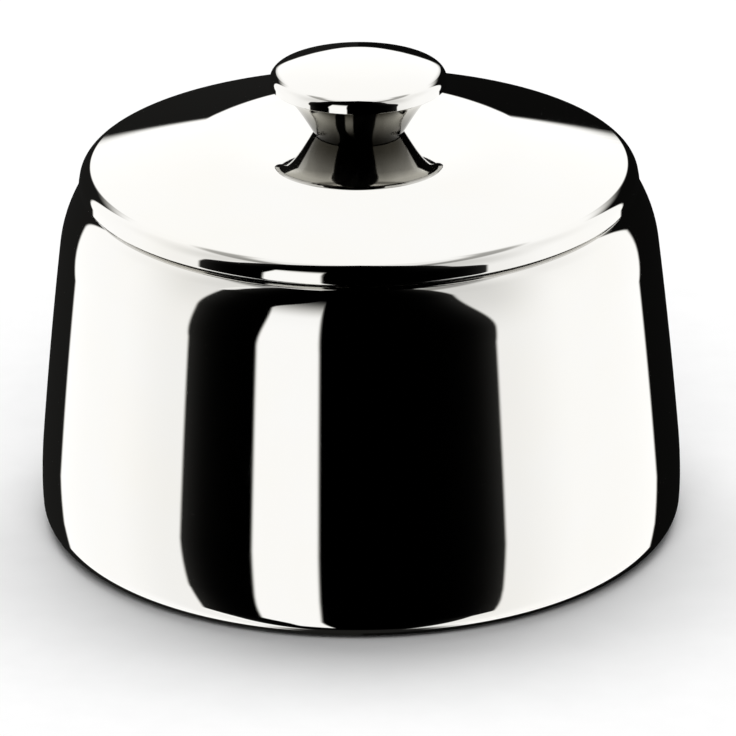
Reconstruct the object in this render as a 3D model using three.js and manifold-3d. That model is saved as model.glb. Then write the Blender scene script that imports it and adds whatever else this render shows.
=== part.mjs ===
// Covered sugar bowl: a drawn metal bowl with a rounded shoulder, a lift-off lid and a
// trumpet-shaped knob. The lid is flat in the middle and slopes away from there to its rim.
// Millimetres, +Z up, origin at the centre of the foot on the resting plane.

import * as THREE from 'three';
import { mergeVertices } from 'three/addons/utils/BufferGeometryUtils.js';
import Module from 'manifold-3d';

// ---------------------------------------------------------------- driving dimensions

const SHEET = 0.9; // wall thickness of every pressed sheet
const SOLDER_GAP = 0.1; // soldered or clamped faces stand this far apart
const RUNNING_GAP = 0.4; // the lid's locating ring inside the mouth

const RING_SEGMENTS = 64; // facets round the bowl and the lid
const KNOB_SEGMENTS = 48; // facets round the knob
const FASTENER_SEGMENTS = 24; // facets round the stud, washer and nut

const BOWL_RADIUS = 50; // widest point, just above the heel
const FOOT_INNER_RADIUS = 43.5; // the foot flange is turned in to here

// The outline of the bowl is a chain of arcs that meet smoothly. "tilt" is how far the outward
// normal points above the horizontal, in degrees, where each arc ends; the first starts at -90.
const BOWL_ARCS = [
  { radius: 3.6, tilt: -4, steps: 5 }, // heel
  { radius: 45, tilt: 0, steps: 1 }, // foot of the wall
  { radius: 84, tilt: 5, steps: 2 }, // lower wall
  { radius: 920, tilt: 7, steps: 2 }, // upper wall, almost straight
  { radius: 20, tilt: 30, steps: 4 }, // shoulder
  { radius: 5, tilt: 60, steps: 2 }, // edge of the shoulder
  { radius: 1.2, tilt: 90, steps: 2 }, // lip of the mouth
];

const BASE_STEP_HEIGHT = 1.4; // the middle of the bottom is pressed up by this much
const BASE_STEP_OUTER_RADIUS = 42.4;
const BASE_STEP_INNER_RADIUS = 40.6;

const MOUTH_RADIUS = 39.9; // inside the mouth ring
const MOUTH_RING_HEIGHT = 7.3;
const MOUTH_RING_CHAMFER = 0.35;

const LID_TOP_HEIGHT = 63.66; // the flat middle, which the knob stands on
const LID_FLAT_RADIUS = 18.2;

// The lid's outline goes on from its flat middle, where the tilt is 90.
const LID_ARCS = [
  { radius: 27, tilt: 76, steps: 3 }, // edge of the flat middle
  { radius: 1403, tilt: 75.3, steps: 1 }, // sloping outer part, almost a cone
  { radius: 2.4, tilt: 10, steps: 5 }, // bend down into the rim
];
const RIM_LOWER_HEIGHT = 55.45; // the rim flares out in a straight line to here

const LID_RING_DEPTH = 50.5; // lower edge of the locating ring
const LID_RING_FLANGE_WIDTH = 1.1;

const NECK_RADIUS = 6.9; // the knob where it meets the lid
const NECK_SLOPE_POINT = [8.9, 67.1]; // control points of the flare, radius and height
const FLARE_SLOPE_POINT = [10.3, 69.9];
const FLARE_RADIUS = 12.8; // the flare under the cap
const CAP_UNDERSIDE_HEIGHT = 71.45;
const CAP_TOP_HEIGHT = 75.3;

// The cap's outline from its centre, where the tilt is 90, to its upright edge.
const CAP_ARCS = [
  { radius: 70, tilt: 84.5, steps: 3 }, // crown
  { radius: 24, tilt: 70, steps: 3 }, // shoulder
  { radius: 1.5, tilt: 0, steps: 4 }, // rounded upper edge
];
const CAP_UNDERSIDE_RECESS = 0.6;
const CAP_LAND_WIDTH = 1.2; // flat ring left round the recess, which rests on the flare

const STUD_RADIUS = 2; // M4
const STUD_CLEARANCE_RADIUS = 2.2;
const STUD_TOP_HEIGHT = 69.5;
const STUD_END_HEIGHT = 58.1;
const STUD_CHAMFER = 0.5;
const WASHER_RADIUS = 5;
const WASHER_THICKNESS = 0.9;
const NUT_ACROSS_FLATS = 7;
const NUT_HEX_HEIGHT = 2.6;
const NUT_DOME_HEIGHT = 2.6;
const NUT_DOME_INSET = 0.3; // the dome is this much smaller than the flats
const NUT_BORE_END_GAP = 0.5; // room between the stud's end and the end of the bore

// ---------------------------------------------------------------- materials

function metal(color, roughness) {
  return new THREE.MeshStandardMaterial({ color, roughness, metalness: 1 });
}

const MIRROR = 0.05;
const SATIN = 0.32;

// ---------------------------------------------------------------- shape helpers

const radians = THREE.MathUtils.degToRad;
const WELD_DISTANCE = 1e-4;
const CUT_OVERLAP = 1; // solids that are joined or cut reach this far into or past each other

function point(radius, height) {
  return new THREE.Vector2(radius, height);
}

// Points of an arc after its first point, from one tilt of the normal to another.
function arcPoints(start, radius, fromTilt, toTilt, steps) {
  const from = radians(fromTilt);
  const centre = point(start.x - radius * Math.cos(from), start.y - radius * Math.sin(from));
  const points = [];
  for (let step = 1; step <= steps; step += 1) {
    const tilt = radians(fromTilt + ((toTilt - fromTilt) * step) / steps);
    points.push(point(centre.x + radius * Math.cos(tilt), centre.y + radius * Math.sin(tilt)));
  }
  return points;
}

// Points of a chain of arcs that meet smoothly, "inset" inside the outer face, after its first point.
function chainPoints(start, startTilt, arcs, inset) {
  let end = start;
  let tilt = startTilt;
  const points = [];
  for (const arc of arcs) {
    points.push(...arcPoints(end, arc.radius - inset, tilt, arc.tilt, arc.steps));
    end = points[points.length - 1];
    tilt = arc.tilt;
  }
  return points;
}

// Turns a closed outline of radius and height round the Z axis.
function turned(outline, segments) {
  const geometry = new THREE.LatheGeometry([...outline, outline[0].clone()], segments);
  return geometry.rotateX(Math.PI / 2);
}

// An outline that starts and ends on the axis.
function turnedSolid(outline, segments) {
  return new THREE.LatheGeometry(outline, segments).rotateX(Math.PI / 2);
}

function place(assembly, name, geometry, material) {
  const mesh = new THREE.Mesh(geometry, material);
  mesh.name = name;
  assembly.add(mesh);
}

// ---------------------------------------------------------------- boolean helpers

const wasm = await Module();
wasm.setup();

function toManifold(geometry) {
  const bare = geometry.clone();
  bare.deleteAttribute('normal');
  bare.deleteAttribute('uv');
  const merged = mergeVertices(bare, WELD_DISTANCE);
  const mesh = new wasm.Mesh({
    numProp: 3,
    vertProperties: new Float32Array(merged.attributes.position.array),
    triVerts: new Uint32Array(merged.index.array),
  });
  return new wasm.Manifold(mesh);
}

function toGeometry(solid) {
  const mesh = solid.getMesh();
  const geometry = new THREE.BufferGeometry();
  geometry.setAttribute('position', new THREE.BufferAttribute(mesh.vertProperties, 3));
  geometry.setIndex(new THREE.BufferAttribute(mesh.triVerts, 1));
  geometry.computeVertexNormals();
  return geometry;
}

// ---------------------------------------------------------------- bowl

// The bowl's outline from the edge of its flat foot to the lip, "inset" inside the outer face.
function bowlOutline(inset) {
  const start = point(0, inset);
  const points = [start, ...chainPoints(start, -90, BOWL_ARCS, inset)];
  const widest = Math.max(...points.map((p) => p.x));
  return points.map((p) => point(p.x + BOWL_RADIUS - inset - widest, p.y));
}

function lipEdge() {
  return bowlOutline(0).pop();
}

function bowlShell() {
  const outer = bowlOutline(0);
  const inner = bowlOutline(SHEET).reverse();
  const outline = [
    point(FOOT_INNER_RADIUS, 0),
    ...outer,
    ...inner,
    point(FOOT_INNER_RADIUS, SHEET),
  ];
  return turned(outline, RING_SEGMENTS);
}

// The foot flange is rolled over the edge of this plate.
function baseDisc() {
  const low = SHEET + SOLDER_GAP;
  const high = low + BASE_STEP_HEIGHT;
  const edgeRadius = bowlOutline(SHEET)[0].x;
  const stepShift = SHEET / 2; // keeps the sheet about as thick across the step
  const outline = [
    point(0, high),
    point(BASE_STEP_INNER_RADIUS, high),
    point(BASE_STEP_OUTER_RADIUS, low),
    point(edgeRadius, low),
    point(edgeRadius, low + SHEET),
    point(BASE_STEP_OUTER_RADIUS + stepShift, low + SHEET),
    point(BASE_STEP_INNER_RADIUS + stepShift, high + SHEET),
    point(0, high + SHEET),
  ];
  return turnedSolid(outline, RING_SEGMENTS);
}

// Stiffens the mouth and centres the lid.
function mouthRing() {
  const top = lipEdge().y;
  const outerRadius = lipEdge().x - SOLDER_GAP;
  const bottom = top - MOUTH_RING_HEIGHT;
  const chamfer = MOUTH_RING_CHAMFER;
  const outline = [
    point(MOUTH_RADIUS, bottom),
    point(outerRadius, bottom),
    point(outerRadius, top - chamfer),
    point(outerRadius - chamfer, top),
    point(MOUTH_RADIUS + chamfer, top),
    point(MOUTH_RADIUS, top - chamfer),
  ];
  return turned(outline, RING_SEGMENTS);
}

// ---------------------------------------------------------------- lid

// The lid from the hole at its centre to the lower edge of its rim.
function lidOutline(inset) {
  const height = LID_TOP_HEIGHT - inset;
  const flatEnd = point(LID_FLAT_RADIUS, height);
  const arcs = chainPoints(flatEnd, 90, LID_ARCS, inset);
  const bendEnd = arcs[arcs.length - 1];
  const rimTilt = radians(LID_ARCS[LID_ARCS.length - 1].tilt);
  const rimWidening = (bendEnd.y - RIM_LOWER_HEIGHT) * Math.tan(rimTilt);
  return [
    point(STUD_CLEARANCE_RADIUS, height),
    flatEnd,
    ...arcs,
    point(bendEnd.x + rimWidening, RIM_LOWER_HEIGHT),
  ];
}

// Height of the lid's underside at a radius.
function lidUndersideHeight(radius) {
  const outline = lidOutline(SHEET);
  const next = outline.findIndex((p) => p.x > radius);
  const [from, to] = [outline[next - 1], outline[next]];
  return THREE.MathUtils.mapLinear(radius, from.x, to.x, from.y, to.y);
}

function lidCover() {
  return turned([...lidOutline(SHEET), ...lidOutline(0).reverse()], RING_SEGMENTS);
}

// Drops into the mouth and keeps the lid from sliding off; its flange is soldered to the lid.
function lidLocatingRing() {
  const outerRadius = MOUTH_RADIUS - RUNNING_GAP;
  const innerRadius = outerRadius - SHEET;
  const flangeRadius = outerRadius + LID_RING_FLANGE_WIDTH;
  const underside = (radius) => lidUndersideHeight(radius) - SOLDER_GAP;
  const outline = [
    point(innerRadius, LID_RING_DEPTH),
    point(outerRadius, LID_RING_DEPTH),
    point(outerRadius, underside(outerRadius) - SHEET),
    point(flangeRadius, underside(flangeRadius) - SHEET),
    point(flangeRadius, underside(flangeRadius)),
    point(innerRadius, underside(innerRadius)),
  ];
  return turned(outline, RING_SEGMENTS);
}

// ---------------------------------------------------------------- knob

const KNOB_FOOT_HEIGHT = LID_TOP_HEIGHT + SOLDER_GAP;

// A turned trumpet, bored for the stud.
function knobStem() {
  const flareTop = CAP_UNDERSIDE_HEIGHT - SOLDER_GAP;
  const flare = new THREE.CubicBezierCurve(
    point(NECK_RADIUS, KNOB_FOOT_HEIGHT),
    point(...NECK_SLOPE_POINT),
    point(...FLARE_SLOPE_POINT),
    point(FLARE_RADIUS, flareTop),
  ).getPoints(10);
  const boreRadius = STUD_RADIUS + SOLDER_GAP;
  const boreTop = STUD_TOP_HEIGHT + SOLDER_GAP;
  const outline = [
    point(0, boreTop),
    point(boreRadius, boreTop),
    point(boreRadius, KNOB_FOOT_HEIGHT),
    ...flare,
    point(0, flareTop),
  ];
  return turnedSolid(outline, KNOB_SEGMENTS);
}

// A low crowned disc, rounded over at its upper edge.
function knobCap() {
  const centre = point(0, CAP_TOP_HEIGHT);
  const crown = chainPoints(centre, 90, CAP_ARCS, 0);
  const edgeRadius = crown[crown.length - 1].x;
  const recessRadius = FLARE_RADIUS - CAP_LAND_WIDTH;
  const outline = [
    point(0, CAP_UNDERSIDE_HEIGHT + CAP_UNDERSIDE_RECESS),
    point(recessRadius, CAP_UNDERSIDE_HEIGHT + CAP_UNDERSIDE_RECESS),
    point(recessRadius, CAP_UNDERSIDE_HEIGHT),
    point(edgeRadius, CAP_UNDERSIDE_HEIGHT),
    ...crown.reverse(),
    centre,
  ];
  return turnedSolid(outline, KNOB_SEGMENTS);
}

// ---------------------------------------------------------------- fasteners inside the lid

const WASHER_TOP_HEIGHT = LID_TOP_HEIGHT - SHEET - SOLDER_GAP;
const WASHER_LOWER_HEIGHT = WASHER_TOP_HEIGHT - WASHER_THICKNESS;
const NUT_TOP_HEIGHT = WASHER_LOWER_HEIGHT - SOLDER_GAP;

function knobStud() {
  const outline = [
    point(0, STUD_END_HEIGHT),
    point(STUD_RADIUS - STUD_CHAMFER, STUD_END_HEIGHT),
    point(STUD_RADIUS, STUD_END_HEIGHT + STUD_CHAMFER),
    point(STUD_RADIUS, STUD_TOP_HEIGHT),
    point(0, STUD_TOP_HEIGHT),
  ];
  return turnedSolid(outline, FASTENER_SEGMENTS);
}

function knobWasher() {
  const outline = [
    point(STUD_CLEARANCE_RADIUS, WASHER_LOWER_HEIGHT),
    point(WASHER_RADIUS, WASHER_LOWER_HEIGHT),
    point(WASHER_RADIUS, WASHER_TOP_HEIGHT),
    point(STUD_CLEARANCE_RADIUS, WASHER_TOP_HEIGHT),
  ];
  return turned(outline, FASTENER_SEGMENTS);
}

// An acorn nut: a chamfered hexagon with a closed dome below it and a blind bore.
function knobNut() {
  const flatRadius = NUT_ACROSS_FLATS / 2;
  const cornerRadius = flatRadius / Math.cos(Math.PI / 6);
  const hexBottom = NUT_TOP_HEIGHT - NUT_HEX_HEIGHT;
  const domeBottom = hexBottom - NUT_DOME_HEIGHT;
  const prism = new THREE.CylinderGeometry(cornerRadius, cornerRadius, NUT_HEX_HEIGHT, 6);
  prism.rotateX(Math.PI / 2).translate(0, 0, (NUT_TOP_HEIGHT + hexBottom) / 2);
  const chamfer = turnedSolid([
    point(0, hexBottom),
    point(flatRadius, hexBottom),
    point(cornerRadius, hexBottom + (cornerRadius - flatRadius)),
    point(cornerRadius, NUT_TOP_HEIGHT),
    point(0, NUT_TOP_HEIGHT),
  ], FASTENER_SEGMENTS);
  const domeRadius = flatRadius - NUT_DOME_INSET;
  const domeOutline = [point(0, domeBottom)];
  const domeSteps = 6;
  for (let step = 1; step <= domeSteps; step += 1) {
    const angle = (step / domeSteps) * (Math.PI / 2);
    const height = hexBottom - NUT_DOME_HEIGHT * Math.cos(angle);
    domeOutline.push(point(domeRadius * Math.sin(angle), height));
  }
  const joinHeight = hexBottom + CUT_OVERLAP;
  domeOutline.push(point(domeRadius, joinHeight), point(0, joinHeight));
  const boreRadius = STUD_RADIUS + SOLDER_GAP;
  const boreEnd = STUD_END_HEIGHT - NUT_BORE_END_GAP;
  const bore = turnedSolid([
    point(0, boreEnd),
    point(boreRadius, boreEnd),
    point(boreRadius, NUT_TOP_HEIGHT + CUT_OVERLAP),
    point(0, NUT_TOP_HEIGHT + CUT_OVERLAP),
  ], FASTENER_SEGMENTS);
  const body = toManifold(prism)
    .intersect(toManifold(chamfer))
    .add(toManifold(turnedSolid(domeOutline, FASTENER_SEGMENTS)))
    .subtract(toManifold(bore));
  return toGeometry(body);
}

// ---------------------------------------------------------------- assembly

const sugarBowl = new THREE.Group();

place(sugarBowl, 'bowl_shell', bowlShell(), metal(0xd9d7d0, MIRROR));
place(sugarBowl, 'base_disc', baseDisc(), metal(0xc9c7c0, SATIN));
place(sugarBowl, 'mouth_ring', mouthRing(), metal(0xd4d2cb, MIRROR));
place(sugarBowl, 'lid_cover', lidCover(), metal(0xd9d7d0, MIRROR));
place(sugarBowl, 'lid_locating_ring', lidLocatingRing(), metal(0xcfcdc6, SATIN));
place(sugarBowl, 'knob_stem', knobStem(), metal(0xd9d7d0, MIRROR));
place(sugarBowl, 'knob_cap', knobCap(), metal(0xd9d7d0, MIRROR));
place(sugarBowl, 'knob_stud', knobStud(), metal(0xb9b8b3, SATIN));
place(sugarBowl, 'knob_washer', knobWasher(), metal(0xb9b8b3, SATIN));
place(sugarBowl, 'knob_nut', knobNut(), metal(0xc4c3be, SATIN));

export default sugarBowl;
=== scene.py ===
"""Covered sugar bowl in mirror-polished metal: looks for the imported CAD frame.

Every piece is turned or cut again as a fine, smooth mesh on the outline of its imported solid, because
a mirror shows each facet of a coarse one. Lengths are in millimetres until an object is placed.
"""

import math

import bpy
import numpy as np
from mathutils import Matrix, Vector


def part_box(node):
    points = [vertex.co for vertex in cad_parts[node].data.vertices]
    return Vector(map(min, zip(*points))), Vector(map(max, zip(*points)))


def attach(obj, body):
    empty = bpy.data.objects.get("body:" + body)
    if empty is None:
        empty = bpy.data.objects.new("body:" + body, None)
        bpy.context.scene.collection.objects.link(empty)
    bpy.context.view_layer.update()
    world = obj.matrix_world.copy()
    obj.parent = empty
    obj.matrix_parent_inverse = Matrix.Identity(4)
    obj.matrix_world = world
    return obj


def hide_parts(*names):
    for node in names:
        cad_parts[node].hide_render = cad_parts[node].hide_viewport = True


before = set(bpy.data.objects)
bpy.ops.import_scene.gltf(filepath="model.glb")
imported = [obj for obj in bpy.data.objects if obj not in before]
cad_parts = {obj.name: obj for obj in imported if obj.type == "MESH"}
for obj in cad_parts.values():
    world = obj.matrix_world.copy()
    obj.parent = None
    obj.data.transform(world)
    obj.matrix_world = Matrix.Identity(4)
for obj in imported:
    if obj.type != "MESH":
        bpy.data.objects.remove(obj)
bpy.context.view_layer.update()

# ------------------------------------------------------------------ sizes

MM = 0.001
RING_SEGMENTS = 384
KNOB_SEGMENTS = 256
FASTENER_SEGMENTS = 96
ARC_STEP = 2.5  # degrees of turn between two points of an arc, on average
LONG_ARC_STEP = 1.5  # mm between two points of a long arc, on average
LEAST_ARC_STEPS = 6
CORNER_POINTS = 7  # on each rounded corner
SHARP_ANGLE = 40  # an edge between two faces that turn by more degrees is shaded sharp
ON_AXIS = 1e-6


def node_box(name):
    """Lowest and highest corner of a CAD node, in millimetres."""
    low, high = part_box(name)
    return low / MM, high / MM


shell_high = node_box("bowl_shell")[1]
disc_low, disc_high = node_box("base_disc")
mouth_low, mouth_high = node_box("mouth_ring")
lid_low, lid_high = node_box("lid_cover")
locating_low, locating_high = node_box("lid_locating_ring")
stem_low, stem_high = node_box("knob_stem")
cap_low, cap_high = node_box("knob_cap")
stud_low, stud_high = node_box("knob_stud")
washer_low, washer_high = node_box("knob_washer")
nut_low, nut_high = node_box("knob_nut")

SHEET = 0.9
EDGE_ROUND = 0.2
RIM_EDGE_ROUND = 0.35
SOLDER_GAP = 0.1
PRESSED_ROUND = 1.2  # where the base disc is stepped

BOWL_RADIUS = shell_high.x
FOOT_INNER_RADIUS = 43.5
# (arc radius, tilt of the outward normal above the horizontal where the arc ends)
BOWL_ARCS = [(3.6, -4), (45, 0), (84, 5), (920, 7), (20, 30), (5, 60), (1.2, 90)]
BASE_STEP_OUTER_RADIUS = 42.4
BASE_STEP_INNER_RADIUS = 40.6
MOUTH_RADIUS = 39.9
MOUTH_LIP_ROUND = 0.45

LID_TOP_HEIGHT = lid_high.z
LID_FLAT_RADIUS = 18.2
LID_ARCS = [(27, 76), (1403, 75.3), (2.4, 10)]
FLAT_MARGIN = 0.1  # the last ring inside the flat middle, which keeps its shading flat
HOLE_RADIUS = 2.2
RUNNING_GAP = 0.4

NECK_RADIUS = 6.9
NECK_SLOPE_POINT = (8.9, 67.1)
FLARE_SLOPE_POINT = (10.3, 69.9)
FLARE_POINTS = 40
CAP_ARCS = [(70, 84.5), (24, 70), (1.5, 0)]
CAP_UNDERSIDE_RECESS = 0.6
CAP_LAND_WIDTH = 1.2
STUD_RADIUS = 2.0
THREAD_PITCH = 0.7
THREAD_DEPTH = 0.35
THREAD_ROWS = 6  # rings of points in each pitch
THREAD_STEEPNESS = 2.5
THREAD_CREST = 0.15  # leaves a narrow flat along the thread's crest
THREAD_RUNOUT = 0.5
WASHER_ROLLED_ROUND = 0.25  # the edge on the side that the stamp pressed
WASHER_ROUND = 0.08
NUT_ACROSS_FLATS = nut_high.x - nut_low.x
NUT_DOME_INSET = 0.3
NUT_DOME_HEIGHT = 2.6
NUT_BORE_PAST_STUD = 0.5
NUT_SHARP_ANGLE = 25
DOME_POINTS = 25
CHAMFER_POINTS = 10
FLAT_POINTS = 5

# ------------------------------------------------------------------ outlines


def arc(start, radius, from_tilt, to_tilt):
    """Points after start on an arc whose outward normal turns between two tilts, in degrees."""
    sweep = abs(math.radians(to_tilt - from_tilt)) * radius
    by_turn = math.ceil(abs(to_tilt - from_tilt) / ARC_STEP)
    by_length = math.ceil(sweep / LONG_ARC_STEP)
    count = max(by_turn, by_length, LEAST_ARC_STEPS)
    # closer together at both ends, so that the shading runs on smoothly into the next arc
    along = (1 - np.cos(np.linspace(0, math.pi, count + 1))) / 2
    tilt = np.radians(from_tilt + (to_tilt - from_tilt) * along)
    centre = np.array(start) - radius * np.array([math.cos(tilt[0]), math.sin(tilt[0])])
    return [(centre[0] + radius * math.cos(t), centre[1] + radius * math.sin(t)) for t in tilt[1:]]


def rounded(corners):
    """A closed outline through the corners (radius, height, rounding): straight lines, with each
    corner turned by its rounding, or by less where the lines beside it are short."""
    count = len(corners)
    points = []
    for i, (r, z, rounding) in enumerate(corners):
        here = np.array([r, z])
        if rounding == 0:
            points.append((r, z))
            continue
        before = np.array(corners[i - 1][:2]) - here
        after = np.array(corners[(i + 1) % count][:2]) - here
        before_length, after_length = np.linalg.norm(before), np.linalg.norm(after)
        one, two = before / before_length, after / after_length
        half = math.acos(max(-1, min(1, float(one @ two)))) / 2
        most = 0.49  # of a line, so that the roundings at its two ends don't meet
        back = min(rounding / math.tan(half), most * before_length, most * after_length)
        first = here + one * back
        last = here + two * back
        for t in np.linspace(0, 1, CORNER_POINTS):
            curve = (1 - t) ** 2 * first + 2 * t * (1 - t) * here + t ** 2 * last
            points.append(tuple(curve))
    return points


def chain(start, start_tilt, arcs, inset):
    """Points after start on a chain of arcs that meet smoothly, inset inside the outer face."""
    end, tilt = start, start_tilt
    points = []
    for radius, to_tilt in arcs:
        points += arc(end, radius - inset, tilt, to_tilt)
        end, tilt = points[-1], to_tilt
    return points


def bowl_outline(inset):
    """From the foot to the lip, inset inside the outer face."""
    start = (0.0, inset)
    points = [start] + chain(start, -90, BOWL_ARCS, inset)
    shift = BOWL_RADIUS - inset - max(r for r, z in points)
    return [(r + shift, z) for r, z in points]


def lid_outline(inset):
    """From the stud's hole over the flat middle, down the slope and the bend, to the rim's edge."""
    height = LID_TOP_HEIGHT - inset
    flat_end = (LID_FLAT_RADIUS, height)
    points = [(HOLE_RADIUS, height), (LID_FLAT_RADIUS - FLAT_MARGIN, height), flat_end]
    points += chain(flat_end, 90, LID_ARCS, inset)
    r, z = points[-1]
    rim_tilt = math.radians(LID_ARCS[-1][1])
    points.append((r + (z - lid_low.z) * math.tan(rim_tilt), lid_low.z))
    return points


def underside(radius):
    """Height of the lid's underside at a radius."""
    points = lid_outline(SHEET)
    return float(np.interp(radius, [r for r, z in points], [z for r, z in points]))


# ------------------------------------------------------------------ mesh helpers


def finish_mesh(name, vertices, faces, sharp_angle=SHARP_ANGLE):
    mesh = bpy.data.meshes.new(name)
    mesh.from_pydata([tuple(v) for v in np.asarray(vertices) * MM], [], faces)
    mesh.validate()
    mesh.shade_smooth()
    mesh.set_sharp_from_angle(angle=math.radians(sharp_angle))
    piece = bpy.data.objects.new(name, mesh)
    bpy.context.scene.collection.objects.link(piece)
    return piece


def turned(name, outline, segments):
    """Turns a closed outline round Z. Points on the axis become one vertex each."""
    area = sum(a[0] * b[1] - b[0] * a[1] for a, b in zip(outline, outline[1:] + outline[:1]))
    outline = outline if area > 0 else outline[::-1]
    angles = np.arange(segments) * 2 * math.pi / segments
    vertices, rings = [], []
    for radius, height in outline:
        start = len(vertices)
        if radius < ON_AXIS:
            vertices.append((0, 0, height))
            rings.append([start] * segments)
        else:
            vertices += [(radius * math.cos(a), radius * math.sin(a), height) for a in angles]
            rings.append(list(range(start, start + segments)))
    faces = []
    for low, high in zip(rings, rings[1:] + rings[:1]):
        if low[0] == low[1] and high[0] == high[1]:
            continue
        for i in range(segments):
            j = (i + 1) % segments
            corners = [low[i], low[j], high[j], high[i]]
            faces.append(list(dict.fromkeys(corners)))
    return finish_mesh(name, vertices, faces)


def add_piece(piece, body, node, material):
    piece.data.materials.append(material)
    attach(piece, body)
    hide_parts(node)
    return piece


# ------------------------------------------------------------------ materials


class Nodes:
    """A short way to build a node tree: each call adds a node and links its inputs."""

    def __init__(self, name):
        self.material = bpy.data.materials.new(name)
        self.material.use_nodes = True
        self.tree = self.material.node_tree
        self.tree.nodes.clear()

    def add(self, kind, inputs=(), **settings):
        node = self.tree.nodes.new(kind)
        for key, value in settings.items():
            setattr(node, key, value)
        for key, value in dict(inputs).items():
            if isinstance(value, bpy.types.NodeSocket):
                self.tree.links.new(value, node.inputs[key])
            else:
                node.inputs[key].default_value = value
        return node

    def math(self, operation, *values):
        return self.add("ShaderNodeMath", enumerate(values), operation=operation).outputs[0]

    def mapped(self, value, low, high, to_low, to_high):
        ends = {"From Min": low, "From Max": high, "To Min": to_low, "To Max": to_high}
        return self.add("ShaderNodeMapRange", {"Value": value, **ends}).outputs["Result"]

    def vector(self, operation, value, other, socket=1):
        inputs = {0: value, socket: other}
        return self.add("ShaderNodeVectorMath", inputs, operation=operation).outputs["Vector"]

    def noise(self, place, scale, detail, **inputs):
        inputs = {"Vector": place, "Scale": scale, "Detail": detail, **inputs}
        return self.add("ShaderNodeTexNoise", inputs).outputs["Fac"]

    def mixed(self, factor, a, b):
        inputs = {"Factor": factor, "A": a, "B": b}
        return self.add("ShaderNodeMix", inputs, data_type="RGBA").outputs["Result"]


LINES_ROUND = 1.5  # marks of polishing per radian round the axis
SMEAR_SCALE = 0.06  # per mm
WIPE_STRETCH = (0.9, 0.11, 0.35)  # per mm along each axis
WIPE_DISTORTION = 0.6
SCRATCH_AXIS = (0.3, 0.5, 1.0)
SCRATCH_TURN = 0.7  # radians
SCRATCH_STRETCH = (5.0, 0.25, 0.6)
SCRATCH_RANGE = (0.66, 0.72)  # only the highest values of the noise are scratches
HAZE_RANGE = (0.12, 0.42)
NOISE_RANGE = (0.3, 0.7)  # where nearly all values of a noise lie
WARMED = (1.0, 0.992, 0.972)
# painted shade: the base colour is darkened at the knob's crease and fades out over the reach above
# it, with a wavy edge
PAINTED_CREASE_SHADE = (0.045, 0.042, 0.034, 1)
PAINTED_CREASE_SHADE_REACH = 6.5  # mm above the crease
PAINTED_CREASE_SHADE_WAVE = 0.15  # mm up or down


def metal(name, tint, roughness, spread, line_scale, line_depth, scratch_depth, crease=None):
    """Metal turned and polished about Z. Its roughness varies by spread, with faint smears. The
    lines are the fine circular marks of polishing, line_scale of them per millimetre, and the
    scratches are sparse. crease is the height of an inner corner: shade is painted into the base
    colour there, darkest at the crease and less and less so above it."""
    n = Nodes(name)
    place = n.add("ShaderNodeTexCoord").outputs["Object"]
    millimetres = n.vector("SCALE", place, 1 / MM, "Scale")
    x, y, z = n.add("ShaderNodeSeparateXYZ", {"Vector": millimetres}).outputs
    radius = n.math("SQRT", n.math("ADD", n.math("MULTIPLY", x, x), n.math("MULTIPLY", y, y)))
    turn = n.math("ARCTAN2", y, x)
    ring_place = n.add("ShaderNodeCombineXYZ", {"X": radius, "Y": turn, "Z": z}).outputs["Vector"]
    stretched = n.vector("MULTIPLY", ring_place, (line_scale, LINES_ROUND, line_scale))
    lines = n.noise(stretched, 1.0, 3.0)
    smears = n.noise(millimetres, SMEAR_SCALE, 4.0)
    wipes = n.vector("MULTIPLY", millimetres, WIPE_STRETCH)
    wipe_marks = n.noise(wipes, 1.0, 5.0, Distortion=WIPE_DISTORTION)
    scratch_place = n.add(
        "ShaderNodeVectorRotate",
        {"Vector": millimetres, "Axis": SCRATCH_AXIS, "Angle": SCRATCH_TURN},
    ).outputs["Vector"]
    scratch_noise = n.noise(n.vector("MULTIPLY", scratch_place, SCRATCH_STRETCH), 1.0, 2.0)
    scratches = n.mapped(scratch_noise, *SCRATCH_RANGE, 0.0, 1.0)

    raised = n.math("MULTIPLY", lines, line_depth)
    height = n.math("SUBTRACT", raised, n.math("MULTIPLY", scratches, scratch_depth))
    bump = n.add("ShaderNodeBump", {"Height": height, "Strength": 1.0, "Distance": MM})
    haze = n.math("MULTIPLY", smears, wipe_marks)
    rough = n.mapped(haze, *HAZE_RANGE, roughness - spread, roughness + spread)
    marked = n.math("ADD", rough, n.math("MULTIPLY", scratches, spread))
    warm = [c * f for c, f in zip(tint, WARMED)]
    base = n.mixed(n.mapped(smears, *NOISE_RANGE, 0.0, 1.0), (*tint, 1), (*warm, 1))
    # painted shade in the crease: darkest at the crease, fading out above it
    if crease is not None:
        above = n.math("SUBTRACT", z, crease)
        wave = n.mapped(wipe_marks, *NOISE_RANGE, -PAINTED_CREASE_SHADE_WAVE, PAINTED_CREASE_SHADE_WAVE)
        reached = n.mapped(n.math("ADD", above, wave), 0.0, PAINTED_CREASE_SHADE_REACH, 0.0, 1.0)
        base = n.mixed(n.math("MULTIPLY", reached, reached), PAINTED_CREASE_SHADE, base)
    shader = n.add(
        "ShaderNodeBsdfPrincipled",
        {
            "Base Color": base,
            "Metallic": 1.0,
            "Roughness": marked,
            "Normal": bump.outputs["Normal"],
        },
    )
    n.add("ShaderNodeOutputMaterial", {"Surface": shader.outputs["BSDF"]})
    return n.material


SILVER = (0.64, 0.635, 0.62)
DULLED_SILVER = (0.6, 0.59, 0.55)
STEEL = (0.54, 0.535, 0.52)
# name, tint, roughness and its spread, lines per mm, depths of lines and scratches in mm
polished = metal("polished_metal", SILVER, 0.025, 0.012, 6.0, 0.00001, 0.0001)
satin = metal("satin_inside", SILVER, 0.24, 0.05, 9.0, 0.0009, 0.001)
turned_steel = metal("turned_steel", STEEL, 0.28, 0.06, 5.0, 0.0015, 0.001)
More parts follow.
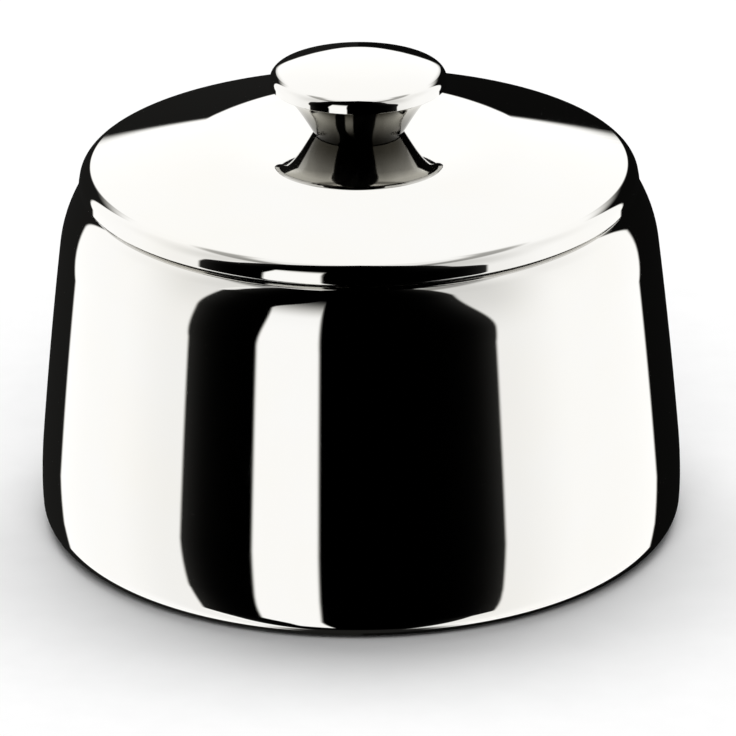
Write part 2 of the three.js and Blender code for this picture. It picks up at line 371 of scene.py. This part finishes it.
# the knob's hollow neck, with shade painted into its colour at its foot
dulled = metal(
    "hollow_of_knob", DULLED_SILVER, 0.08, 0.03, 6.0, 0.00004, 0.0001, crease=stem_low.z
)

# ------------------------------------------------------------------ bowl


def build_bowl():
    outer = bowl_outline(0)
    inner = bowl_outline(SHEET)[::-1]
    foot = [(FOOT_INNER_RADIUS + EDGE_ROUND, 0), (FOOT_INNER_RADIUS, EDGE_ROUND)]
    foot_top = [(FOOT_INNER_RADIUS, SHEET - EDGE_ROUND), (FOOT_INNER_RADIUS + EDGE_ROUND, SHEET)]
    outline = foot[::-1] + outer + inner + foot_top[::-1]
    shell = turned("bowl_shell_polished", outline, RING_SEGMENTS)
    add_piece(shell, "bowl", "bowl_shell", polished)
    shell.data.materials.append(satin)
    first_inner = len(foot) + len(outer)
    inner_faces = range(first_inner * RING_SEGMENTS, (first_inner + len(inner)) * RING_SEGMENTS)
    for i in inner_faces:
        shell.data.polygons[i].material_index = 1

    low, top = disc_low.z, disc_high.z
    raised = top - SHEET
    edge = disc_high.x
    disc = rounded([
        (0, raised, 0),
        (BASE_STEP_INNER_RADIUS, raised, PRESSED_ROUND),
        (BASE_STEP_OUTER_RADIUS, low, PRESSED_ROUND),
        (edge, low, EDGE_ROUND),
        (edge, low + SHEET, EDGE_ROUND),
        (BASE_STEP_OUTER_RADIUS + SHEET / 2, low + SHEET, PRESSED_ROUND),
        (BASE_STEP_INNER_RADIUS + SHEET / 2, top, PRESSED_ROUND),
        (0, top, 0),
    ])
    piece = turned("base_disc_turned", disc, RING_SEGMENTS)
    add_piece(piece, "bowl", "base_disc", turned_steel)

    outer_radius = mouth_high.x
    ring = rounded([
        (MOUTH_RADIUS, mouth_low.z, EDGE_ROUND),
        (outer_radius, mouth_low.z, EDGE_ROUND),
        (outer_radius, mouth_high.z, MOUTH_LIP_ROUND),
        (MOUTH_RADIUS, mouth_high.z, MOUTH_LIP_ROUND),
    ])
    piece = turned("mouth_ring_polished", ring, RING_SEGMENTS)
    add_piece(piece, "bowl", "mouth_ring", polished)


# ------------------------------------------------------------------ lid


def build_lid():
    inner = [(r, z, 0) for r, z in lid_outline(SHEET)]
    outer = [(r, z, 0) for r, z in lid_outline(0)[::-1]]
    inner[-1] = (*inner[-1][:2], EDGE_ROUND)
    outer[0] = (*outer[0][:2], RIM_EDGE_ROUND)
    cover = turned("lid_cover_polished", rounded(inner + outer), RING_SEGMENTS)
    add_piece(cover, "lid", "lid_cover", polished)
    cover.data.materials.append(satin)
    for i in range((len(inner) - 1) * RING_SEGMENTS):
        cover.data.polygons[i].material_index = 1

    outer_radius = MOUTH_RADIUS - RUNNING_GAP
    inner_radius = outer_radius - SHEET
    flange_radius = locating_high.x
    ring = rounded([
        (inner_radius, locating_low.z, EDGE_ROUND),
        (outer_radius, locating_low.z, EDGE_ROUND),
        (outer_radius, underside(outer_radius) - SOLDER_GAP - SHEET, EDGE_ROUND),
        (flange_radius, underside(flange_radius) - SOLDER_GAP - SHEET, EDGE_ROUND),
        (flange_radius, underside(flange_radius) - SOLDER_GAP, EDGE_ROUND),
        (inner_radius, underside(inner_radius) - SOLDER_GAP, EDGE_ROUND),
    ])
    piece = turned("lid_locating_ring_satin", ring, RING_SEGMENTS)
    add_piece(piece, "lid_ring", "lid_locating_ring", satin)


# ------------------------------------------------------------------ knob


def bezier(a, b, c, d, count):
    a, b, c, d = (np.array(p, float) for p in (a, b, c, d))
    ts = np.linspace(0, 1, count)
    return [
        tuple((1 - t) ** 3 * a + 3 * t * (1 - t) ** 2 * b + 3 * t * t * (1 - t) * c + t ** 3 * d)
        for t in ts
    ]


def build_knob():
    foot = stem_low.z
    flare_end = (stem_high.x, stem_high.z)
    flare = bezier(
        (NECK_RADIUS, foot), NECK_SLOPE_POINT, FLARE_SLOPE_POINT, flare_end, FLARE_POINTS
    )
    bore_radius = STUD_RADIUS + SOLDER_GAP
    bore_top = stud_high.z + SOLDER_GAP
    bore = [(0, bore_top), (bore_radius, bore_top), (bore_radius, foot)]
    stem = bore + flare + [(0, stem_high.z)]
    add_piece(turned("knob_stem_polished", stem, KNOB_SEGMENTS), "lid", "knob_stem", dulled)

    crown = [(0.0, cap_high.z)] + chain((0.0, cap_high.z), 90, CAP_ARCS, 0)
    edge, broken = crown[-1][0], EDGE_ROUND / 2
    corner = [(edge - broken, cap_low.z), (edge, cap_low.z + broken)]
    recess = stem_high.x - CAP_LAND_WIDTH
    under = cap_low.z + CAP_UNDERSIDE_RECESS
    cap = [(0, under), (recess, under), (recess, cap_low.z)] + corner + crown[::-1]
    add_piece(turned("knob_cap_polished", cap, KNOB_SEGMENTS), "lid", "knob_cap", polished)


# ------------------------------------------------------------------ fasteners


def build_stud():
    """A threaded stud: one outline whose ring heights climb by the pitch in each turn."""
    segments = FASTENER_SEGMENTS
    low, high = stud_low.z, stud_high.z
    rows = int((high - low) / THREAD_PITCH * THREAD_ROWS)
    vertices = []
    for row in range(rows + 1):
        for i in range(segments):
            turn = i / segments
            height = low + (high - low) * row / rows
            phase = (height / THREAD_PITCH - turn) % 1
            cut = THREAD_STEEPNESS * abs(phase - 0.5) - THREAD_CREST
            depth = THREAD_DEPTH * min(1, max(0, cut))
            runout = min(1, (height - low) / THREAD_RUNOUT, (high - height) / THREAD_RUNOUT)
            radius = STUD_RADIUS - THREAD_DEPTH + (THREAD_DEPTH - depth) * runout
            angle = 2 * math.pi * turn
            vertices.append((radius * math.cos(angle), radius * math.sin(angle), height))
    faces = []
    for row in range(rows):
        for i in range(segments):
            j = (i + 1) % segments
            a, b = row * segments, (row + 1) * segments
            faces.append([a + i, a + j, b + j, b + i])
    faces.append(list(range(segments))[::-1])
    faces.append([rows * segments + i for i in range(segments)])
    piece = finish_mesh("knob_stud_threaded", vertices, faces)
    add_piece(piece, "lid", "knob_stud", turned_steel)


def build_washer():
    washer = rounded([
        (HOLE_RADIUS, washer_low.z, WASHER_ROUND),
        (washer_high.x, washer_low.z, WASHER_ROLLED_ROUND),
        (washer_high.x, washer_high.z, WASHER_ROUND),
        (HOLE_RADIUS, washer_high.z, WASHER_ROUND),
    ])
    piece = turned("knob_washer_stamped", washer, FASTENER_SEGMENTS)
    add_piece(piece, "lid", "knob_washer", turned_steel)


def build_nut():
    """An acorn nut, turned with a radius that follows the hexagon between its chamfers."""
    segments = FASTENER_SEGMENTS * 2
    flat = NUT_ACROSS_FLATS / 2
    corner = flat / math.cos(math.pi / 6)
    top, bottom = nut_high.z, nut_low.z
    hex_bottom = bottom + NUT_DOME_HEIGHT
    dome_radius = flat - NUT_DOME_INSET
    bore_radius = STUD_RADIUS + SOLDER_GAP
    bore_end = stud_low.z - NUT_BORE_PAST_STUD
    chamfer = corner - flat
    outline = [(0, bottom, False)]
    for angle in np.linspace(0, math.pi / 2, DOME_POINTS)[1:]:
        height = hex_bottom - NUT_DOME_HEIGHT * math.cos(angle)
        outline.append((dome_radius * math.sin(angle), height, False))
    outline.append((flat, hex_bottom, True))
    for out in chamfer * np.linspace(1 / CHAMFER_POINTS, 1, CHAMFER_POINTS):
        outline.append((flat + out, hex_bottom + out, True))
    for height in np.linspace(hex_bottom + chamfer, top, FLAT_POINTS + 1)[1:]:
        outline.append((corner, height, True))
    outline += [(bore_radius, top, False), (bore_radius, bore_end, False), (0, bore_end, False)]
    vertices, rings = [], []
    for radius, height, on_hexagon in outline:
        start = len(vertices)
        if radius == 0:
            vertices.append((0, 0, height))
            rings.append([start] * segments)
            continue
        for i in range(segments):
            angle = 2 * math.pi * i / segments
            # the corners lie on the Y axis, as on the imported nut
            from_flat = (angle + math.pi / 6) % (math.pi / 3) - math.pi / 6
            limit = flat / math.cos(from_flat) if on_hexagon else radius
            r = min(radius, limit)
            vertices.append((r * math.cos(angle), r * math.sin(angle), height))
        rings.append(list(range(start, start + segments)))
    faces = []
    for low, high in zip(rings, rings[1:]):
        for i in range(segments):
            j = (i + 1) % segments
            faces.append(list(dict.fromkeys([low[i], low[j], high[j], high[i]])))
    piece = finish_mesh("knob_nut_acorn", vertices, faces, NUT_SHARP_ANGLE)
    add_piece(piece, "lid", "knob_nut", turned_steel)


# ------------------------------------------------------------------ studio


STUDIO_DISTANCE = 3000.0
STUDIO_STEP = 0.5  # degrees
PANEL_LIGHT = 1.5  # strength of a white panel, as the metal sees it

# An edge is its azimuth and its bends: degrees added between two elevations. The front cards'
# azimuths count from the camera, and the far wall's from straight behind the bowl.
CARDS_LEFT = (-66.3, [(1.5, -10, 14), (9, 14, 42), (13, -15, -50)])
STRIP_LEFT = (-38.4, [(3.4, -10, 25), (20, 26, 38), (8, -26, -50), (22, -57, -67)])
STRIP_RIGHT = (-15.0, [])
CARDS_RIGHT = (51.2, [(-11.5, 2, 36), (-8, -27, -42)])
FAR_WALL_LEFT = (44.0, [(3, -18, -30)])
FAR_WALL_RIGHT = (49.5, [(3, -5, 20)])
CARD_BLUR = 0.8  # degrees each side of an edge
HOOD_BLUR = 1.5
FAR_WALL_BLUR = 1
HOOD_CLOSES = (20, 37)  # elevations between which the hood covers the strip
FAR_WALL_CORNER = (9, 24)  # degrees from straight behind between which its top rises
FAR_WALL_TOP = 10.5
FAR_WALL_TOP_RISE = 20
FAR_WALL_TOP_BLUR = 0.7
CORNER_BLUR_BELOW, CORNER_BLUR_ABOVE = 5, 9  # more blur where the top has risen
FAR_WALL_TONES = (0.009, 0.003)  # left and right
# A white panel is a little darker beside the cards: by this much low down, and by this much more
# on the way up between two elevations. The loss fades between two azimuths.
RIGHT_PANEL_LOSS, RIGHT_PANEL_FADES = (0.1, 0.12, -6, 25), (51, 85)
LEFT_PANEL_LOSS, LEFT_PANEL_FADES = (0.08, 0.06, -2, 25), (-100, -70)
LEFT_PANEL_STARTS = -60
PANEL_LOSS_ENDS = (60, 75)  # elevations
UPWARD_LOSS, UPWARD_LOSS_STARTS = 0.12, (8, 45)  # in front and at the sides
UPWARD_LOSS_FADES = (90, 130)
SEAM, SEAM_BLUR, SEAM_LOSS = (57, 68), 3, 0.6  # between the side panels and the overhead one
SEAM_FADES = (120, 150)
CARD_SHEEN, CARD_SHEEN_WIDTH = 0.022, 4  # light from the panels along the cards' outer edges
PAINTED_FLOOR_SHADOW, PAINTED_FLOOR_SHADOW_TONE = (71, 80), 0.012  # painted shadow: the floor's shade under the bowl, as the metal sees it, painted dark on the studio between these degrees below the horizon
SHADE_WARMTH = (0.0, 0.012, 0.06)  # taken from red, green and blue where it is dark

FLOOR_TONES = (0.93, 0.95)
FLOOR_GRAIN = 900.0  # per metre
FLOOR_AMBIENT = 0.3
LIGHT_DISTANCE = 1500.0
# name, degrees up from the horizon behind the bowl, width and height in mm, power in watts
LIGHTS = [
    ("overhead", 71.5, (1450.0, 640.0), 16.0),
    ("front_fill", 130.0, (900.0, 600.0), 6.8),
]


def rise(x, start, end):
    """0 up to start and 1 from end, smooth between."""
    t = np.clip((x - start) / (end - start), 0, 1)
    return t * t * (3 - 2 * t)


def between(x, low, high, soft):
    return rise(x, low - soft, low + soft) * (1 - rise(x, high - soft, high + soft))


def edge_at(edge, el):
    azimuth, bends = edge
    for added, start, end in bends:
        azimuth = azimuth + added * rise(el, start, end)
    return azimuth


def panel_loss(loss, el):
    low, more, start, end = loss
    return low + more * rise(el, start, end)


def studio_tone(az, el):
    """Brightness of the studio in each direction, from 0 to 1: black cards in front with a narrow
    white strip between them and a black hood above, white panels at both sides and overhead, and a
    dark far wall. Azimuth 0 lies towards the camera and grows to its right; both are in degrees."""
    left, right = edge_at(CARDS_LEFT, el), edge_at(CARDS_RIGHT, el)
    left_card = between(az, left, edge_at(STRIP_LEFT, el), CARD_BLUR)
    right_card = between(az, edge_at(STRIP_RIGHT, el), right, CARD_BLUR)
    hood = between(az, left, right, HOOD_BLUR) * rise(el, *HOOD_CLOSES)
    front = np.clip(np.maximum(left_card + right_card, hood), 0, 1)

    from_back = 180 - np.abs(az)
    on_left = az < 0
    edge = np.where(on_left, edge_at(FAR_WALL_LEFT, el), edge_at(FAR_WALL_RIGHT, el))
    corner = rise(from_back, *FAR_WALL_CORNER)
    top = FAR_WALL_TOP + FAR_WALL_TOP_RISE * corner
    top_low = top - FAR_WALL_TOP_BLUR - CORNER_BLUR_BELOW * corner
    top_high = top + FAR_WALL_TOP_BLUR + CORNER_BLUR_ABOVE * corner
    sides = 1 - rise(from_back, edge - FAR_WALL_BLUR, edge + FAR_WALL_BLUR)
    back = sides * (1 - rise(el, top_low, top_high))
    back_tone = np.where(on_left, *FAR_WALL_TONES)

    right_fade = (1 - rise(az, *RIGHT_PANEL_FADES)) * (az > 0)
    left_fade = rise(az, *LEFT_PANEL_FADES) * (az < LEFT_PANEL_STARTS)
    beside = panel_loss(RIGHT_PANEL_LOSS, el) * right_fade
    beside = beside + panel_loss(LEFT_PANEL_LOSS, el) * left_fade
    fade = 1 - rise(np.abs(az), *UPWARD_LOSS_FADES)
    panels = 1 - UPWARD_LOSS * rise(el, *UPWARD_LOSS_STARTS) * fade
    panels = panels - beside * (1 - rise(el, *PANEL_LOSS_ENDS))
    seam = between(el, *SEAM, SEAM_BLUR) * (1 - rise(np.abs(az), *SEAM_FADES))
    panels = panels * (1 - SEAM_LOSS * seam)

    inside_edge = np.minimum(np.abs(az - left), np.abs(right - az))
    sheen = CARD_SHEEN * np.exp(-inside_edge / CARD_SHEEN_WIDTH)
    tone = panels * (1 - front) + sheen * front
    tone = tone * (1 - back) + back_tone * back
    # painted shadow: the studio is dark where the metal would see the shaded floor under the bowl
    painted_floor_shadow = rise(-el, *PAINTED_FLOOR_SHADOW)
    return tone * (1 - painted_floor_shadow) + PAINTED_FLOOR_SHADOW_TONE * painted_floor_shadow


def build_reflected_studio():
    az = np.arange(-180, 180 + STUDIO_STEP, STUDIO_STEP)
    el = np.arange(-90, 90 + STUDIO_STEP, STUDIO_STEP)
    az_grid, el_grid = np.meshgrid(az, el)
    ra, re = np.radians(az_grid), np.radians(el_grid)
    along = [np.sin(ra) * np.cos(re), -np.cos(ra) * np.cos(re), np.sin(re)]
    vertices = (np.stack(along, axis=-1) * STUDIO_DISTANCE).reshape(-1, 3)
    row = len(az)
    corner = (np.arange(len(el) - 1)[:, None] * row + np.arange(row - 1)[None, :]).ravel()
    faces = np.stack([corner, corner + 1, corner + 1 + row, corner + row], axis=1)
    mesh = bpy.data.meshes.new("reflected_studio")
    mesh.from_pydata((vertices * MM).tolist(), [], faces.tolist())
    tone = studio_tone(az_grid, el_grid).ravel()
    warmth = 1 - np.outer(1 - tone, SHADE_WARMTH)
    light = np.column_stack([tone[:, None] * warmth, np.ones_like(tone)])
    attribute = mesh.attributes.new("light", "FLOAT_COLOR", "POINT")
    attribute.data.foreach_set("color", light.ravel())
    studio = bpy.data.objects.new("reflected_studio", mesh)
    bpy.context.scene.collection.objects.link(studio)
    n = Nodes("studio_light")
    colour = n.add("ShaderNodeAttribute", attribute_name="light").outputs["Color"]
    glow = n.add("ShaderNodeEmission", {"Color": colour, "Strength": PANEL_LIGHT})
    n.add("ShaderNodeOutputMaterial", {"Surface": glow.outputs[0]})
    n.material.cycles.emission_sampling = "NONE"
    mesh.materials.append(n.material)
    for ray in ("camera", "diffuse", "shadow", "volume_scatter", "transmission"):
        setattr(studio, f"visible_{ray}", False)


def build_floor():
    n = Nodes("pale_floor")
    grain = n.add("ShaderNodeTexNoise", {"Scale": FLOOR_GRAIN, "Detail": 4.0}).outputs["Fac"]
    tone = n.mapped(grain, *NOISE_RANGE, *FLOOR_TONES)
    colour = n.add("ShaderNodeCombineColor", {"Red": tone, "Green": tone, "Blue": tone})
    shader = n.add(
        "ShaderNodeBsdfPrincipled",
        {"Base Color": colour.outputs["Color"], "Roughness": 0.9, "Specular IOR Level": 0.0},
    )
    n.add("ShaderNodeOutputMaterial", {"Surface": shader.outputs["BSDF"]})
    half = STUDIO_DISTANCE
    corners = [(-half, -half, 0), (half, -half, 0), (half, half, 0), (-half, half, 0)]
    floor = finish_mesh("floor", corners, [[0, 1, 2, 3]])
    floor.data.materials.append(n.material)
    floor.visible_glossy = False
    # the shadow on the floor is not filled in by light off the polished metal
    bpy.context.scene.cycles.caustics_reflective = False


def build_lights():
    for name, degrees, size, power in LIGHTS:
        elevation = math.radians(degrees)
        data = bpy.data.lights.new(name, "AREA")
        data.shape = "RECTANGLE"
        data.size, data.size_y = (length * MM for length in size)
        data.energy = power
        light = bpy.data.objects.new(name, data)
        light.location = Vector((0, math.cos(elevation), math.sin(elevation))) * LIGHT_DISTANCE * MM
        light.rotation_euler = (elevation - math.pi / 2, 0, 0)
        light.visible_glossy = False
        light.visible_camera = False
        bpy.context.scene.collection.objects.link(light)

    world = bpy.data.worlds.new("white_room")
    bpy.context.scene.world = world
    world.use_nodes = True
    nodes, links = world.node_tree.nodes, world.node_tree.links
    path = nodes.new("ShaderNodeLightPath")
    strength = nodes.new("ShaderNodeMapRange")
    strength.inputs["To Min"].default_value = FLOOR_AMBIENT
    strength.inputs["To Max"].default_value = 1.0
    links.new(path.outputs["Is Camera Ray"], strength.inputs["Value"])
    links.new(strength.outputs["Result"], nodes["Background"].inputs["Strength"])
    nodes["Background"].inputs["Color"].default_value = (1, 1, 1, 1)


# ------------------------------------------------------------------ camera


CAMERA_DISTANCE = 1100.0
CAMERA_ELEVATION = 22.25  # degrees
CAMERA_ROLL = -0.43  # degrees
SENSOR_WIDTH = 36
LENS = 346.1
CLIP = (0.05, 20)  # metres
AIM = Vector((1.16, 0, 35.0))
AIM_DROP = 10.05  # the picture's centre lies this far below the aim, square to the view


def build_camera():
    elevation = math.radians(CAMERA_ELEVATION)
    back = Vector((0, -math.cos(elevation), math.sin(elevation)))
    up = Vector((0, math.sin(elevation), math.cos(elevation)))
    data = bpy.data.cameras.new("camera")
    data.sensor_width = SENSOR_WIDTH
    data.lens = LENS
    data.clip_start, data.clip_end = CLIP
    camera = bpy.data.objects.new("camera", data)
    bpy.context.scene.collection.objects.link(camera)
    place = Vector((0, 0, AIM.z)) + back * CAMERA_DISTANCE
    target = AIM - up * AIM_DROP
    camera.location = place * MM
    camera.rotation_euler = (target - place).to_track_quat("-Z", "Y").to_euler()
    camera.rotation_euler.rotate_axis("Z", math.radians(CAMERA_ROLL))
    bpy.context.scene.camera = camera


build_bowl()
build_lid()
build_knob()
build_stud()
build_washer()
build_nut()
build_reflected_studio()
build_floor()
build_lights()
build_camera()
bpy.context.scene.view_settings.view_transform = "Standard"
